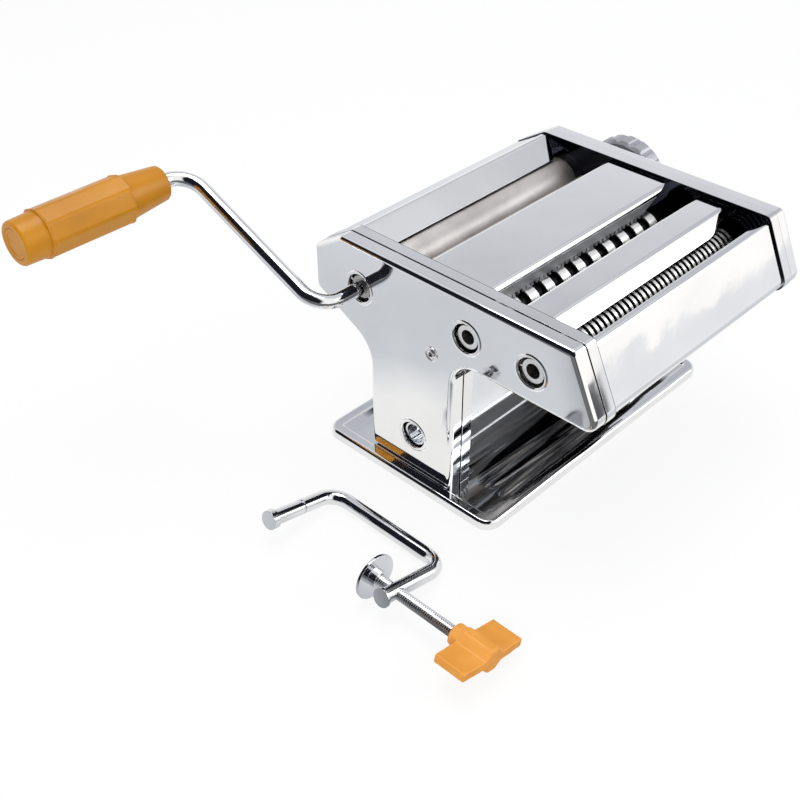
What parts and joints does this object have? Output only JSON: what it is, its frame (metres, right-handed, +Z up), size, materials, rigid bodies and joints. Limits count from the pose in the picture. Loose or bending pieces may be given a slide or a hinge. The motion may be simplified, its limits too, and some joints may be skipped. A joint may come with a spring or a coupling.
{
  "type": "pasta machine",
  "caption": "Hand cranked pasta machine: polished steel housing with two smooth rollers, a wide and a narrow ring cutter, a crank and a screw clamp for the table.",
  "frame": {"origin": "centre of the base's underside, at table height", "axes": "+X along the rollers towards the thickness knob, with the crank on the -X side; -Y towards the front, where the cutters are; +Z up"},
  "size_m": [0.3366, 0.2789, 0.1634],
  "materials": {
    "polished_steel": "mirror polished sheet steel",
    "bright_rod": "bright plated rod",
    "scraper_steel": "rolled spring steel sheet",
    "roller_steel": "ground and plated roller steel",
    "gear_steel": "sintered steel, lightly greased",
    "nylon": "natural nylon",
    "rubber": "matt black rubber",
    "ochre_grip": "satin moulded plastic, ochre",
    "orange_wing": "satin moulded plastic, orange",
    "spring_steel": "dark spring wire"
  },
  "bodies": {
    "body": {"base_plate": "polished_steel", "rubber_pad_1": "rubber", "rubber_pad_2": "rubber", "rubber_pad_3": "rubber", "rubber_pad_4": "rubber", "crank_side_frame": "polished_steel", "crank_side_cover": "polished_steel", "knob_side_frame": "polished_steel", "knob_side_cover": "polished_steel", "rear_plate": "polished_steel", "centre_cover": "polished_steel", "middle_cover": "polished_steel", "front_cover": "polished_steel", "chute_plate": "polished_steel", "tie_rod_low": "bright_rod", "tie_rod_back": "bright_rod", "tie_rod_front": "bright_rod", "clamp_socket": "polished_steel", "cover_screw_crank": "bright_rod", "cover_screw_knob": "bright_rod", "drive_scraper": "scraper_steel", "adjust_scraper": "scraper_steel", "wide_comb_back": "scraper_steel", "wide_comb_front": "scraper_steel", "narrow_comb_back": "scraper_steel", "narrow_comb_front": "scraper_steel", "drive_bush_crank": "nylon", "drive_bush_knob": "nylon", "axle_bush": "nylon", "wide_bearing_crank": "nylon", "wide_bearing_knob": "nylon", "narrow_bearing_crank": "nylon", "narrow_bearing_knob": "nylon", "index_plate": "scraper_steel", "clamp_frame": "bright_rod"},
    "drive": {"drive_roller": "roller_steel", "drive_gear": "gear_steel"},
    "crank": {"crank_rod": "bright_rod"},
    "grip": {"crank_grip": "ochre_grip", "grip_cap": "ochre_grip"},
    "adjuster": {"adjuster_axle": "roller_steel", "axle_cap": "polished_steel", "knob_spring": "spring_steel"},
    "knob": {"adjuster_knob": "polished_steel"},
    "float": {"float_bush_crank": "nylon", "float_bush_knob": "nylon"},
    "adjusted_roller": {"adjust_roller": "roller_steel", "adjust_gear": "gear_steel"},
    "wide_driven": {"wide_roller_back": "roller_steel", "wide_gear_back": "gear_steel"},
    "wide_idle": {"wide_roller_front": "roller_steel", "wide_gear_front": "gear_steel"},
    "narrow_driven": {"narrow_roller_back": "roller_steel", "narrow_gear_back": "gear_steel"},
    "narrow_idle": {"narrow_roller_front": "roller_steel", "narrow_gear_front": "gear_steel"},
    "foot": {"clamp_foot": "bright_rod"},
    "screw": {"clamp_screw": "bright_rod", "wing_knob": "orange_wing"}
  },
  "joints": [
    {"name": "drive_turn", "type": "hinge", "parent": "body", "child": "drive", "pos_m": [0, 0.039, 0.107], "axis": [1, 0, 0], "continuous": true},
    {"name": "crank_pull", "type": "slide", "parent": "drive", "child": "crank", "axis": [-1, 0, 0], "range_m": [0, 0.03]},
    {"name": "grip_turn", "type": "hinge", "parent": "crank", "child": "grip", "pos_m": [-0.1818, 0.1398, 0.14979], "axis": [1, 0, 0], "continuous": true},
    {"name": "thickness_turn", "type": "hinge", "parent": "body", "child": "adjuster", "pos_m": [0, 0.0094, 0.107], "axis": [1, 0, 0], "range_deg": [0, 180]},
    {"name": "knob_pull", "type": "slide", "parent": "adjuster", "child": "knob", "axis": [1, 0, 0], "range_m": [0, 0.004], "stiffness_N_per_m": 900, "springref_m": -0.002, "deforming": ["knob_spring"]},
    {"name": "float_turn", "type": "hinge", "parent": "adjuster", "child": "float", "pos_m": [0, 0.0106, 0.107], "axis": [1, 0, 0], "range_deg": [-180, 180]},
    {"name": "adjusted_turn", "type": "hinge", "parent": "float", "child": "adjusted_roller", "pos_m": [0, 0.0106, 0.107], "axis": [1, 0, 0], "continuous": true},
    {"name": "wide_turn", "type": "hinge", "parent": "body", "child": "wide_driven", "pos_m": [0, -0.0352, 0.1102], "axis": [1, 0, 0], "continuous": true},
    {"name": "wide_idle_turn", "type": "hinge", "parent": "body", "child": "wide_idle", "pos_m": [0, -0.0532, 0.1102], "axis": [1, 0, 0], "continuous": true},
    {"name": "narrow_turn", "type": "hinge", "parent": "body", "child": "narrow_driven", "pos_m": [0, -0.076, 0.1102], "axis": [1, 0, 0], "continuous": true},
    {"name": "narrow_idle_turn", "type": "hinge", "parent": "body", "child": "narrow_idle", "pos_m": [0, -0.094, 0.1102], "axis": [1, 0, 0], "continuous": true},
    {"name": "foot_travel", "type": "slide", "parent": "body", "child": "foot", "axis": [0, 1, 0], "range_m": [-0.0025, 0.0325]},
    {"name": "screw_turn", "type": "hinge", "parent": "foot", "child": "screw", "pos_m": [-0.17151, -0.062, 0.0125], "axis": [0, 1, 0], "range_deg": [-720, 9360]}
  ],
  "couplings": [
    {"joint": "adjusted_turn", "follows": "drive_turn", "ratio": -1},
    {"joint": "float_turn", "follows": "thickness_turn", "ratio": -1},
    {"joint": "wide_idle_turn", "follows": "wide_turn", "ratio": -1},
    {"joint": "narrow_idle_turn", "follows": "narrow_turn", "ratio": -1},
    {"joint": "screw_turn", "follows": "foot_travel", "rad_per_m": 5026.5}
  ]
}
